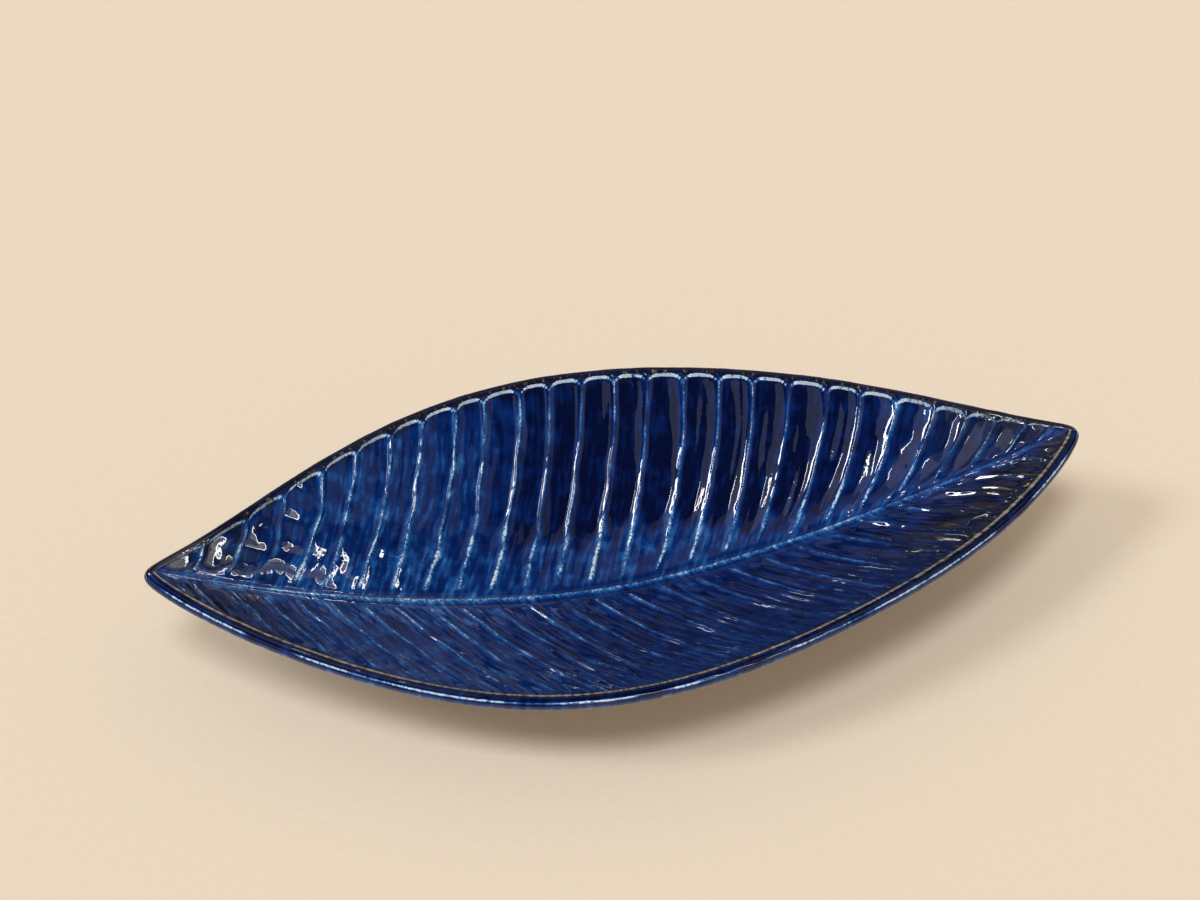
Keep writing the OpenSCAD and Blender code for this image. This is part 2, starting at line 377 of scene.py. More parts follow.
    def ridges(self):
        """Share of full height along the veins' cords: rounded off at both ends, and beaded by waves."""
        foot = np.where(self.far, 4.4, 3.2) * self.slim
        foot_length = 2.2 * self.slim
        whole = smooth(foot, foot + foot_length, self.up) * smooth(0.2, 1.6, self.to_rim / self.slim)
        beads = 1 + 0.25 * waves(17, self.vein * APART, self.up, shortest=2.6, longest=7)
        return whole * beads * (1 + self.per_vein(14, size=0.2))

    def fine_veins(self):
        """Low ridges at thirds between the veins: short and low on the far side, longer on the near side.

        Each is a bell curve across, with a place, a size and a start of its own.
        """
        total = 0
        stop = np.where(self.far, 0.38, 0.9)
        ended = smooth(stop, 0.7 * stop, WALL_ROWS[:, None])
        for number, place in enumerate((1 / 3, 2 / 3)):
            middle = place + self.per_flute(31 + number, low=-0.04, high=0.04)
            size = self.per_flute(41 + number, low=-0.5, high=1).clip(0)
            size = np.where(self.far, size, 0.35 + 0.65 * size)
            cord = np.exp(-((self.part - middle) * self.pitch / FINE_WIDTH) ** 2) * size
            start = self.per_flute(51 + number, low=5, high=14) * self.slim
            total = total + cord * smooth(start, start + 3, self.up) * ended
        return total * smooth(0.5, 4, self.to_rim)

    def midrib(self):
        """Height of the rounded cord along the middle, with a groove along each foot of it."""
        taper = 1 - self.midrib_t ** 4
        half = self.midrib_width / 2
        rib_width = half * (0.35 + 0.65 * taper)
        rib = np.clip(1 - (self.up / rib_width) ** 2, 0, 1) ** 1.5
        groove_place, groove_width = 1.55 * half, 0.42 * half
        groove_depth = np.where(self.far, 0.42, 0.25)
        groove = np.exp(-((self.up - groove_place) / groove_width) ** 2) * groove_depth
        return taper * rib, taper * groove * np.minimum(1, self.reach / FULL_GROOVE_REACH)

    def poured(self):
        """Unevenness of the poured glaze: long ripples down the veins, and round lumps at the tips."""
        streaks = waves(21, self.along, self.y / RIPPLE_STRETCH, shortest=3, longest=9)
        lumps = waves(22, self.x, self.y, shortest=9, longest=20)
        t = self.x / self.half_length
        tips = smooth(0.55, 0.8, np.abs(t))
        runs = 1 + 0.9 * smooth(0.1, 0.5, t) * ~self.far
        drops = 0.8 * waves(25, self.x, self.y, shortest=9, longest=15) * smooth(-0.55, -0.66, t) * self.far
        lumpy = lumps * (0.12 + 0.88 * tips) + drops
        calm = np.minimum(1, self.up / 4) * smooth(0, 2, self.to_rim)
        return calm * (self.ripple * streaks * runs + self.lumps * lumpy)

    def inside(self):
        """Finished inside from the midrib to the rim's crest, with its thinness, brown and flow at each point.

        The smooth wall is raised along the midrib, the veins and the fine veins and sunk in the flutes. The
        raising points straight up, and turns into the rim's own direction near the rim.
        """
        flutes, pools, lips = self.flutes()
        ridges, fine = self.ridges(), self.fine_veins()
        rib, groove = self.midrib()
        cord = np.exp(-(self.off / self.ridge_width) ** 2)
        # Flutes are deeper under the far rim and shallower on the near side
        depth = self.flute_depth * self.per_flute(13, low=0.8, high=1.2)
        depth = depth * np.where(self.far, 1 + 0.6 * smooth(14, 2, self.to_rim), 0.6)
        raised = self.slim * (self.ridge_height * cord * ridges + self.fine_height * fine - depth * flutes)
        raised = raised + self.midrib_rise * rib - groove + self.poured()

        along, across = self.out_normal(self.rim_t)
        level, steep = math.cos(INNER_TANGENT), math.sin(INNER_TANGENT)
        rim_way = np.stack([along * level, self.side * across * level, np.full_like(along, steep)], -1)
        lean = smooth(0.85, 1, WALL_ROWS)[:, None, None]
        way = (1 - lean) * np.array([0, 0, 1.0]) + lean * rim_way
        smooth_wall = np.stack([self.x, self.y, self.z], -1)
        wall = smooth_wall + raised[..., None] * way
        self.clay_wall = self.lowest(smooth_wall, raised, way)
        bead = self.finished_bead(INNER_BEAD[1:])
        thin = self.thinness(pools, ridges, fine, rib, lips)
        # The rim's shoulder gets a painted highlight in its thinness
        fields = {"thin": np.concatenate([thin, RIM_THIN + self.painted_shoulder_highlight(INNER_BEAD[1:])]),
                  "rust": np.concatenate([self.rust(lips), self.bead_rust(INNER_BEAD[1:])]),
                  "flow": self.flow(self.up, INNER_BEAD[1:])}
        return np.concatenate([wall, bead]), fields

    def thinness(self, pools, ridges, fine, rib, lips):
        """How thin the glaze lies: 0 in deep pools, near 0.4 on even places, 1 or more almost bare.

        It pools in the flutes, most of all in the middle of the far side, and beside the near side's veins.
        It is drawn thin along the veins' cords, in a bright core with a wider halo, and on the midrib. On the
        lips of the far side's flutes it is paler still: the glaze's break there with a painted highlight on
        top.
        """
        share = WALL_ROWS[:, None]
        # Painted reflection: the glaze is made lighter on the stem half, most on the near side, for the
        # brighter veil there
        stem_half_veil = smooth(-0.2, -0.5, self.midrib_t)
        even = np.where(self.far, 0.4 + 0.05 * stem_half_veil, 0.33 + 0.13 * stem_half_veil)
        middle = smooth(-0.45, -0.15, self.midrib_t) * smooth(0.7, 0.3, self.midrib_t)
        pool_depth = np.where(self.far, 0.08 + 0.28 * middle, 0.1)
        beside_place, beside_width = 1.7, 1.0
        beside = np.exp(-((self.part * self.pitch - beside_place) / beside_width) ** 2)
        beside = beside * ~self.far * smooth(4, 8, self.up)
        thin = even - pool_depth * pools - 0.14 * beside

        low = smooth(0.5, 0.2, share)
        patchy = 1 + 0.35 * waves(29, self.vein * APART, self.up, shortest=8, longest=30)
        fade = np.where(self.far, (0.62 + 0.38 * low) * np.clip(patchy, 0.3, 1.5), 0.8 - 0.65 * share)
        core_width = np.where(self.far, 0.3 + 0.3 * low, 0.45)
        core = np.exp(-(self.off / core_width) ** 2)
        halo_width = np.where(self.far, 2.3, 1.7)
        halo = np.exp(-(self.off / halo_width) ** 2) * np.where(self.far, 2.2 - 1.2 * low, 1)
        drawn = ridges.clip(0, 1.4) * fade * (0.38 * core + 0.08 * halo)
        thin = thin + drawn + 0.14 * fine + 0.33 * rib

        # Painted dark reflection: in a band under the rim the glaze is darkened to the rim's own dark
        painted_under_rim = smooth(4.5, 1, self.to_rim / self.slim)
        thin = thin * (1 - 0.8 * painted_under_rim) + RIM_THIN * painted_under_rim
        # Painted highlight: the far side's lips go up to the palest glaze, beyond the glaze's break alone
        return np.clip(thin + LIP_BREAK_AND_HIGHLIGHT * lips * self.far, 0, LIP_BREAK_AND_HIGHLIGHT)

    def rust(self, lips):
        """Brown in the glaze, the strongest of four: under the rim and more along its inner edge, high on the
        far side's veins, at the tips, and on the near side's apex half. It is iron brown in part, and in part
        a painted
        reflection: dark under the rim, at the tips and on the apex half, paler on the rim's inner edge."""
        share = WALL_ROWS[:, None]
        below_rim = self.to_rim / self.slim
        # Painted dark reflection under the rim, with more brown along the rim's inner edge
        edge = np.where(self.far, 0.2, 0.5) * smooth(1, 0.3, below_rim)
        painted_under_rim = 0.45 * smooth(5, 1.5, below_rim) + edge
        painted_under_rim = painted_under_rim * np.where(self.far, 1 - lips.clip(0, 1), 1)
        vein_width = 0.6
        veins = np.exp(-(self.off / vein_width) ** 2) * smooth(0.45, 0.8, share) * self.far
        t = self.x / self.half_length
        tips = smooth(0.5, 0.85, np.abs(t)) * smooth(1, 5, self.up) * np.where(t > 0, 1.3, 1.2)
        near_apex_reflection = smooth(0.2, 0.7, t) * smooth(0.1, 0.6, share) * ~self.far
        return np.maximum.reduce([painted_under_rim, 0.42 * veins, 0.42 * tips, 0.6 * near_apex_reflection])

    def bead_rust(self, angles):
        """Brown on the rim's inner edge, paler on the near side, which fades out over the rim's top: iron
        brown in part, and in part a painted reflection.
        """
        inner_edge = smooth(math.radians(84), math.radians(104), angles)
        return inner_edge[:, None] * np.where(self.far, 0.65, 0.95)

    def painted_shoulder_highlight(self, angles):
        """Painted highlight along the rim's shoulder, given as thinner and paler glaze: a narrow line with
        gaps.
        """
        held = smooth(-1.1, 0.4, self.rim_waves(28, shortest=14, longest=70))
        line_width = math.radians(9)
        return SHOULDER_HIGHLIGHT_THIN * np.exp(-((angles[:, None] - SHOULDER) / line_width) ** 2) * held

    def flow(self, up, angles):
        """Where the glaze ran: metres along the midrib, and from it over the wall and round the rim."""
        round_rim = self.reach + self.rim_radius * (INNER_TANGENT - angles)[:, None]
        down = np.concatenate([up, round_rim]) * self.side
        along = self.vein * self.pitch * np.ones_like(down)
        return MM * np.stack([along, down, np.zeros_like(down)], -1)

    def rim_waves(self, seed, shortest, longest):
        """Waves along the rim, other ones on each side."""
        return waves(seed, self.along[0], self.side * APART, shortest, longest, count=16)

    def finished_bead(self, angles):
        """Rounded rim over the glaze, a little uneven along its length and flattened on its shoulder."""
        radius = self.rim_radius - RIM_UNEVEN * smooth(-1.5, 1.5, self.rim_waves(23, shortest=7, longest=40))
        flat = FLAT_LEAST + FLAT_MORE * smooth(-1.2, 1.2, self.rim_waves(26, shortest=9, longest=50))
        shoulder = SHOULDER + math.radians(2) * self.rim_waves(27, shortest=8, longest=30)
        aside = np.cos(np.clip(angles[:, None] - shoulder, -1, 1))
        return self.bead(angles, self.rim_t, np.minimum(radius, (radius - flat) / aside))

    def outside(self):
        """Finished outside from the rim's crest to where the glaze stops, with the same fields.

        The underside is the smooth inside less the wall. The angle round the rim goes on down the underside,
        as a measure of how far down a row lies.
        """
        bead = self.finished_bead(OUTER_BEAD)
        share = UNDER_ROWS[:, None]
        rim = bead[-1]
        plan = rim[:, :2] * (1 - share[..., None]) + self.stop_points() * share[..., None]
        z = self.inside_z(plan[..., 0], plan[..., 1]) - self.wall
        gap = rim[:, 2] - (self.inside_z(rim[:, 0], rim[:, 1]) - self.wall)
        ripple = UNDER_RIPPLE * waves(24, plan[..., 0], plan[..., 1], shortest=9, longest=30)
        fade = smooth(0, 0.12, share) * smooth(1, 0.9, share)
        z = z + gap * smooth(0.3, 0, share) + ripple * fade
        rows = np.concatenate([bead, np.concatenate([plan, z[..., None]], -1)])
        # Radians by which the angle goes on down the underside, and over which the glaze grows thicker
        under_turn, pool_turn = 8, 3
        down = np.concatenate([OUTER_BEAD, OUTER_TANGENT - under_turn * UNDER_ROWS])
        thin = RIM_THIN + (OUTSIDE_THIN - RIM_THIN) * smooth(math.radians(25), math.radians(-15), down)
        thin = thin - FOOT_POOL * smooth(OUTER_TANGENT, OUTER_TANGENT - pool_turn, down)
        # Painted highlight along the rim's shoulder, carried on over the outer half of the rim
        thin = thin[:, None] + self.painted_shoulder_highlight(down)
        no_wall = np.zeros((0, len(self.vein)))
        fields = {"thin": thin, "rust": np.zeros_like(thin), "flow": self.flow(no_wall, down)}
        return rows, fields

    def stop_points(self):
        """Where the outside glaze stops: an oval round the foot ring, met in the direction of each column."""
        along, across = self.out_normal(self.even_t)
        out = self.rim_radius * math.cos(OUTER_TANGENT)
        turn = np.arctan2(self.side * (self.half_width(self.even_t) + across * out),
                          self.half_length * self.even_t + along * out)
        radius = self.foot_width / 2 + self.glaze_stop
        centre = (self.foot_length - self.foot_width) / 2
        on_side = np.abs(np.cos(turn)) * radius <= np.abs(np.sin(turn)) * centre
        chord = np.sqrt(np.maximum(0, radius ** 2 - (centre * np.sin(turn)) ** 2))
        end = centre * np.abs(np.cos(turn)) + chord
        far_out = np.where(on_side, radius / np.maximum(np.abs(np.sin(turn)), TINY), end)
        return far_out[:, None] * np.stack([np.cos(turn), np.sin(turn)], -1)

    def under_z(self, x, y):
        """Bare clay of the underside: the smooth inside less the wall, without the outside coat."""
        return self.inside_z(x, y) - self.wall + self.glaze

    def lowest(self, smooth_wall, raised, way):
        """Clay under the inside glaze: some rows of the wall, a coat deeper than the lowest relief near them.

        Along the midrib the two sides share the lower value, so that they meet.
        """
        before = np.r_[0, CLAY_ROWS[:-1]]
        after = np.r_[CLAY_ROWS[1:], CLAY_ROWS[-1]]
        low = np.stack([raised[a:b + 1].min(0) for a, b in zip(before, after)])
        low[0] = np.minimum(low[0], low[0, -np.arange(low.shape[1])])
        return smooth_wall[CLAY_ROWS] + low[..., None] * way[CLAY_ROWS] - np.array([0, 0, self.glaze])

    def clay_inside(self):
        """Clay under the inside glaze from the midrib to the rim's crest, with one row more on the rim."""
        return np.concatenate([self.clay_wall, self.clay_bead(INNER_BEAD[[4, -1]])])

    def clay_outside(self, finished):
        """Clay under the outside glaze, a coat above its face: each row next to the rim, then each fourth."""
        first, last = len(OUTER_BEAD), len(finished) - 1
        rows = np.r_[first:first + 4, first + 5:last:4, last]
        under = finished[rows] + np.array([0, 0, self.glaze])
        return np.concatenate([self.clay_bead(OUTER_BEAD[[0, 4, -1]]), under])

    def clay_bead(self, angles):
        """Clay inside the rounded rim: the same circle, less the coat."""
        return self.bead(angles, self.rim_t, self.rim_radius - self.glaze * math.cos(RIM_SLOPE))

    def clay_base(self):
        """Bare base inside the line where the glaze stops, drawn in to the middle line."""
        stop = self.stop_points()
        x = np.repeat(stop[None, :, 0], len(BASE_ROWS), axis=0)
        y = BASE_ROWS[:, None] * stop[:, 1]
        return np.stack([x, y, self.under_z(x, y)], -1)

    def foot(self):
        """Foot ring: a section with rounded lower corners, carried round two half circles and the straights
        between them, its top against the bare base."""
        inset = self.foot_wall / 2
        cap = np.linspace(-math.pi / 2, math.pi / 2, FOOT_END_POINTS)
        run = np.linspace(1, -1, FOOT_SIDE_POINTS)[1:-1]
        right_angle = np.full(len(run), math.pi / 2)
        turn = np.concatenate([cap, right_angle, cap + math.pi, -right_angle])
        centre = np.concatenate([np.ones(len(cap)), run, -np.ones(len(cap)), -run])
        centre = centre * (self.foot_length - self.foot_width) / 2
        out = np.stack([np.cos(turn), np.sin(turn)], -1)
        path = (self.foot_width / 2 - inset) * out + np.stack([centre, np.zeros_like(centre)], -1)
        bend = np.linspace(0, math.pi / 2, FOOT_CORNER_POINTS)
        across = np.concatenate([inset - FOOT_CORNER * (1 - np.sin(bend)), [inset]])
        across = np.concatenate([across, -across[::-1]])
        height = np.concatenate([FOOT_CORNER * (1 - np.cos(bend)), [np.inf]])
        height = np.concatenate([height, height[::-1]])[:, None]
        plan = path + across[:, None, None] * out
        top = self.under_z(plan[..., 0], plan[..., 1]) + FOOT_SEAT
        return np.concatenate([plan, np.minimum(height, top)[..., None]], -1)


# Meshes

def add_piece(name, rows, material, node, joined=False, flat_spans=(), fields=None):
    """Closed surface through rows of equally many points, which run round the leaf. Points that meet are
    welded, and a square that has lost a side becomes a triangle. flat_spans are the steps at a coat's edge.
    """
    count = rows.shape[1]
    spans = len(rows) if joined else len(rows) - 1
    here = np.arange(spans)[:, None] * count
    there = (np.arange(spans)[:, None] + 1) % len(rows) * count
    this, after = np.arange(count), (np.arange(count) + 1) % count
    quads = np.stack([here + this, here + after, there + after, there + this], -1).reshape(-1, 4)
    points = rows.reshape(-1, 3)
    _, first, place = np.unique(np.round(points, WELD_DECIMALS), axis=0,
                                return_index=True, return_inverse=True)
    corners = place.ravel()[quads]
    kept = corners != np.roll(corners, 1, axis=1)
    pinched = (corners[:, 0] == corners[:, 2]) | (corners[:, 1] == corners[:, 3])
    whole = (kept.sum(1) >= 3) & ~pinched
    sizes = kept[whole].sum(1)

    mesh = bpy.data.meshes.new(name)
    mesh.vertices.add(len(first))
    mesh.vertices.foreach_set("co", (points[first] * MM).astype(np.float32).ravel())
    mesh.loops.add(int(sizes.sum()))
    mesh.loops.foreach_set("vertex_index", corners[whole][kept[whole]].astype(np.int32))
    mesh.polygons.add(len(sizes))
    mesh.polygons.foreach_set("loop_start", (np.cumsum(sizes) - sizes).astype(np.int32))
    even = ~np.isin(np.repeat(np.arange(spans), count), flat_spans)
    mesh.polygons.foreach_set("use_smooth", even[whole])
    for key, values in (fields or {}).items():
        kind, part = ("FLOAT", "value") if values.ndim == 2 else ("FLOAT_VECTOR", "vector")
        layer = mesh.attributes.new(key, kind, "POINT")
        layer.data.foreach_set(part, values.reshape(len(points), -1)[first].astype(np.float32).ravel())
    mesh.update(calc_edges=True)
    if mesh.validate():
        raise RuntimeError(f"{name} has faces that don't hold")
    mesh.materials.append(material)
    piece = bpy.data.objects.new(name, mesh)
    bpy.context.scene.collection.objects.link(piece)
    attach(piece, "root")
    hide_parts(node)
    return piece


def backed(fields, rows):
    """The fields of a finished face, with as many rows of zeros for the hidden face behind it."""
    return {key: np.concatenate([values, np.zeros((rows, *values.shape[1:]))])
            for key, values in fields.items()}


# Materials

def new_material(name):
    """An empty material with its Principled shader, linked to the output."""
    material = bpy.data.materials.new(name)
    material.use_nodes = True
    return material, material.node_tree, material.node_tree.nodes["Principled BSDF"]


def add_node(tree, kind, links=None, values=None, stops=(), **settings):
    """Adds a node with its settings, links its inputs, sets its other inputs and any colour stops."""
    node = tree.nodes.new(kind)
    for key, value in settings.items():
        setattr(node, key, value)
    for key, output in (links or {}).items():
        tree.links.new(output, node.inputs[key])
    for key, value in (values or {}).items():
        node.inputs[key].default_value = value
    for number, (place, shade) in enumerate(stops):
        elements = node.color_ramp.elements
        element = elements[number] if number < len(elements) else elements.new(place)
        element.position = place
        element.color = (*shade, 1)
    return node


def noise_scale(size_mm):
    """Scale of a noise pattern whose blotches are about the size across, on coordinates in metres."""
    return 1 / (size_mm * MM)


def cobalt_glaze(colours):
    """Glossy cobalt glaze, dipped and fired over brown stoneware.

    The eye sees deep blue under a hard clear gloss: almost black where the glaze pools, streaked along its
    flow, light blue and speckled where it breaks over the veins, and brown in places, which is iron brown in
    part and painted reflection in part.
    """
    # How much streaks and clouds vary the thinness, how much specks do and from which thinness on
    streak_share, cloud_share, speck_share, speck_from = 0.85, 0.65, 3.6, 0.42
    # How many times as long as wide a streak is
    streak_stretch = 6
    material, tree, shader = new_material("Cobalt glaze")
    place = add_node(tree, "ShaderNodeTexCoord").outputs["Object"]
    thin = add_node(tree, "ShaderNodeAttribute", attribute_name="thin").outputs["Fac"]
    rust = add_node(tree, "ShaderNodeAttribute", attribute_name="rust").outputs["Fac"]
    flow = add_node(tree, "ShaderNodeAttribute", attribute_name="flow").outputs["Vector"]
    drawn = add_node(tree, "ShaderNodeMapping", {"Vector": flow},
                     {"Scale": (1, 1 / streak_stretch, 1)}).outputs["Vector"]
    streak = add_node(tree, "ShaderNodeTexNoise", {"Vector": drawn},
                      {"Scale": noise_scale(1.8), "Detail": 3.0})
    cloud = add_node(tree, "ShaderNodeTexNoise", {"Vector": place}, {"Scale": noise_scale(6), "Detail": 4.0})
    speck = add_node(tree, "ShaderNodeTexNoise", {"Vector": place}, {"Scale": noise_scale(1), "Detail": 2.0})
    # Thinness varied by streaks and clouds about their middle value, and by specks where the glaze is thin
    streaked = add_node(tree, "ShaderNodeMath", {0: streak.outputs["Fac"], 2: thin}, {1: streak_share},
                        operation="MULTIPLY_ADD")
    clouded = add_node(tree, "ShaderNodeMath", {0: cloud.outputs["Fac"], 2: streaked.outputs[0]},
                       {1: cloud_share}, operation="MULTIPLY_ADD")
    excess = add_node(tree, "ShaderNodeMath", {0: thin}, {1: speck_from},
                      operation="SUBTRACT", use_clamp=True)
    grains = add_node(tree, "ShaderNodeMath", {0: speck.outputs["Fac"]},
                      {1: speck_share, 2: -speck_share / 2}, operation="MULTIPLY_ADD")
    speckled = add_node(tree, "ShaderNodeMath", {0: grains.outputs[0], 1: excess.outputs[0],
                                                 2: clouded.outputs[0]}, operation="MULTIPLY_ADD")
    spread = add_node(tree, "ShaderNodeMath", {0: speckled.outputs[0]},
                      {1: (streak_share + cloud_share) / 2}, operation="SUBTRACT")
    blue = add_node(tree, "ShaderNodeValToRGB", {"Fac": spread.outputs[0]},
                    stops=[(0.04, colours.pool), (0.22, colours.deep), (0.42, colours.body),
                           (0.6, colours.thin), (0.8, colours.pale), (1.0, colours.crest)])
    # Brown breaks through in grains, and is paler where there is more of it; the brown is iron brown in part
    # and painted reflection in part
    grain = add_node(tree, "ShaderNodeTexNoise", {"Vector": drawn},
                     {"Scale": noise_scale(1.5), "Detail": 3.0})
    grained_rust_and_reflection = add_node(tree, "ShaderNodeMath", {0: grain.outputs["Fac"], 1: rust}, operation="ADD")
    half = add_node(tree, "ShaderNodeMath", {0: grained_rust_and_reflection.outputs[0]}, {1: 0.5}, operation="MULTIPLY")
    share = add_node(tree, "ShaderNodeValToRGB", {"Fac": half.outputs[0]},
                     stops=[(0.4, (0, 0, 0)), (0.62, (1, 1, 1))])
    brown = add_node(tree, "ShaderNodeValToRGB", {"Fac": half.outputs[0]},
                     stops=[(0.6, colours.scorch_and_dark_reflection), (0.78, colours.rim)])
    base = add_node(tree, "ShaderNodeMix", {"Factor": share.outputs["Color"], "A": blue.outputs["Color"],
                                            "B": brown.outputs["Color"]}, data_type="RGBA")
    tree.links.new(base.outputs["Result"], shader.inputs["Base Color"])
    # Faint waviness of a fired glaze
    wavy = add_node(tree, "ShaderNodeTexNoise", {"Vector": place}, {"Scale": noise_scale(2.4), "Detail": 1.0})
    bump = add_node(tree, "ShaderNodeBump", {"Height": wavy.outputs["Fac"]},
                    {"Strength": 1.0, "Distance": 0.03 * MM})
    tree.links.new(bump.outputs["Normal"], shader.inputs["Normal"])
    shader.inputs["Roughness"].default_value = 0.04
    shader.inputs["IOR"].default_value = 1.5
    return material


def bare_stoneware(colours):
    """Unglazed stoneware, pressed and fired: warm buff clay, matt, with dark grog and a gritty surface."""
    material, tree, shader = new_material("Bare stoneware")
    place = add_node(tree, "ShaderNodeTexCoord").outputs["Object"]
    cloud = add_node(tree, "ShaderNodeTexNoise", {"Vector": place}, {"Scale": noise_scale(14), "Detail": 5.0})
    grit = add_node(tree, "ShaderNodeTexVoronoi", {"Vector": place}, {"Scale": noise_scale(1.6)})
    dark = add_node(tree, "ShaderNodeValToRGB", {"Fac": grit.outputs["Distance"]},
                    stops=[(0.10, colours.grog), (0.22, colours.clay)])
    shade = add_node(tree, "ShaderNodeMix", {"Factor": cloud.outputs["Fac"], "A": dark.outputs["Color"]},
                     {"B": (*linear("#D8C9B4"), 1)}, data_type="RGBA", blend_type="MULTIPLY")
    tree.links.new(shade.outputs["Result"], shader.inputs["Base Color"])
    bump = add_node(tree, "ShaderNodeBump", {"Height": grit.outputs["Distance"]},
                    {"Strength": 0.4, "Distance": 0.3 * MM})
    tree.links.new(bump.outputs["Normal"], shader.inputs["Normal"])
    shader.inputs["Roughness"].default_value = 0.85
    return material


def painted_board(look):
    """Matt painted board: plain and pale, with a faint fine grain."""
    material, tree, shader = new_material("Painted board")
    place = add_node(tree, "ShaderNodeTexCoord").outputs["Object"]
    grain = add_node(tree, "ShaderNodeTexNoise", {"Vector": place},
                     {"Scale": noise_scale(2.5), "Detail": 3.0})
    shade = add_node(tree, "ShaderNodeValToRGB", {"Fac": grain.outputs["Fac"]},
                     stops=[(0.3, tuple(0.97 * c for c in look.floor)), (0.7, look.floor)])
    tree.links.new(shade.outputs["Color"], shader.inputs["Base Color"])
    shader.inputs["Roughness"].default_value = 0.9
    shader.inputs["Specular IOR Level"].default_value = 0.2
    return material


def finish(name, make, *settings):
    """The named material, made on its first use."""
    return bpy.data.materials.get(name) or make(*settings)


# Operators

class LEAFDISH_OT_inside_glaze(bpy.types.Operator):
    """Glaze over the inside, with midrib, veins, flutes and the inner half of the rounded rim"""
    bl_idname = "leaf_dish.inside_glaze"
    bl_label = "Inside glaze"

    def execute(self, context):
        dish = context.scene.leaf_dish
        leaf = Leaf(dish)
        finished, fields = leaf.inside()
        clay = leaf.clay_inside()[::-1]
        add_piece("leaf_inside_glaze", np.concatenate([finished, clay]),
                  finish("Cobalt glaze", cobalt_glaze, dish.colours), "inside_glaze",
                  flat_spans=[len(finished) - 1], fields=backed(fields, len(clay)))
        return {"FINISHED"}


class LEAFDISH_OT_outside_glaze(bpy.types.Operator):
    """Glaze over the outer half of the rim and the underside, down to the bare line beside the foot ring"""
    bl_idname = "leaf_dish.outside_glaze"
    bl_label = "Outside glaze"

    def execute(self, context):
        dish = context.scene.leaf_dish
        leaf = Leaf(dish)
        finished, fields = leaf.outside()
        clay = leaf.clay_outside(finished)[::-1]
        rows = np.concatenate([finished, clay])
        add_piece("leaf_outside_glaze", rows, finish("Cobalt glaze", cobalt_glaze, dish.colours),
                  "outside_glaze", joined=True, flat_spans=[len(finished) - 1, len(rows) - 1],
                  fields=backed(fields, len(clay)))
        return {"FINISHED"}


class LEAFDISH_OT_clay_body(bpy.types.Operator):
    """Pressed clay leaf under both coats, bare inside the foot ring"""
    bl_idname = "leaf_dish.clay_body"
    bl_label = "Clay body"

    def execute(self, context):
        dish = context.scene.leaf_dish
        leaf = Leaf(dish)
        leaf.inside()
        inside = leaf.clay_inside()
        outside = leaf.clay_outside(leaf.outside()[0])[1:]
        rows = np.concatenate([inside, outside, leaf.clay_base()])
        add_piece("leaf_clay_body", rows[:, ::CLAY_COLUMN_STEP],
                  finish("Bare stoneware", bare_stoneware, dish.colours), "stoneware_body")
        return {"FINISHED"}


class LEAFDISH_OT_foot_ring(bpy.types.Operator):
    """Bare clay ring under the base, which the dish stands on"""
    bl_idname = "leaf_dish.foot_ring"
    bl_label = "Foot ring"

    def execute(self, context):
        dish = context.scene.leaf_dish
        rows = Leaf(dish).foot()
        add_piece("leaf_foot_ring", rows, finish("Bare stoneware", bare_stoneware, dish.colours),
                  "foot_ring", joined=True)
        return {"FINISHED"}


# The photograph's view: azimuth and elevation, and in pixels its size, the place of the tips' middle and the
# focal length
VIEW_AZIMUTH, VIEW_ELEVATION = math.radians(-14.75), math.radians(38)
FRAME_SIZE, TIPS_MIDDLE, FOCAL_PIXELS = (1200, 900), (626.1, 503.1), 3000
# Width of the camera's sensor in millimetres, and of the square floor in metres
SENSOR, FLOOR_SIZE = 36.0, 16.0
# Height of a dim panel in metres, the brightness that halves it, and the angle that a lamp fills in the sky
PANEL_HEIGHT, PANEL_DROP, LAMP_ANGLE = 10.0, 100, math.radians(17)
# Tints of the light: white, a trace of blue, cool, blue, warm, and warmer still for the shadows
WHITE, DAYLIGHT, COOL, BLUE, WARM, AMBER = "#FFFFFF", "#F4F8FF", "#E6ECFF", "#D9E2FF", "#FFF3E2", "#FFE5C2"
# Tint and strength of the world's even light, of what the gloss sees of it, and of the backdrop
AMBIENT, GLOSS_DARK, BACKDROP = ("#FFF9F1", 0.28), ("#FFF6EA", 0.03), ("#E9D7BF", 1.0)


def add_panel(name, right, back, brightness, tint):
    """Level panel overhead that shows only in the gloss, brightness times as bright as white paper.

    Its edges are given by how far they lie to the right and to the back, for each metre of height. The
    brighter a panel, the lower it hangs, so that it shows before a dimmer one.
    """
    height = PANEL_HEIGHT / (1 + brightness / PANEL_DROP)
    lamp = bpy.data.lights.new(name, "AREA")
    lamp.shape = "RECTANGLE"
    lamp.size = height * (right[1] - right[0])
    lamp.size_y = height * (back[1] - back[0])
    lamp.energy = brightness * math.pi * lamp.size * lamp.size_y
    lamp.color = linear(tint)
    holder = bpy.data.objects.new(name, lamp)
    holder.location = (height * sum(right) / 2, height * sum(back) / 2, height)
    holder.visible_camera = False
    holder.visible_diffuse = False
    bpy.context.scene.collection.objects.link(holder)


def add_sun(name, towards, energy, tint, shadow=True):
    """Wide soft lamp, far off in the given direction, that lights surfaces but doesn't show in the gloss. One
    that throws no shadow fills the shadows of the others."""
    lamp = bpy.data.lights.new(name, "SUN")
    lamp.energy = energy
    lamp.angle = LAMP_ANGLE
    lamp.color = linear(tint)
    lamp.use_shadow = shadow
    holder = bpy.data.objects.new(name, lamp)
    holder.rotation_euler = (-Vector(towards)).to_track_quat("-Z", "Y").to_euler()
    holder.visible_glossy = False
    bpy.context.scene.collection.objects.link(holder)


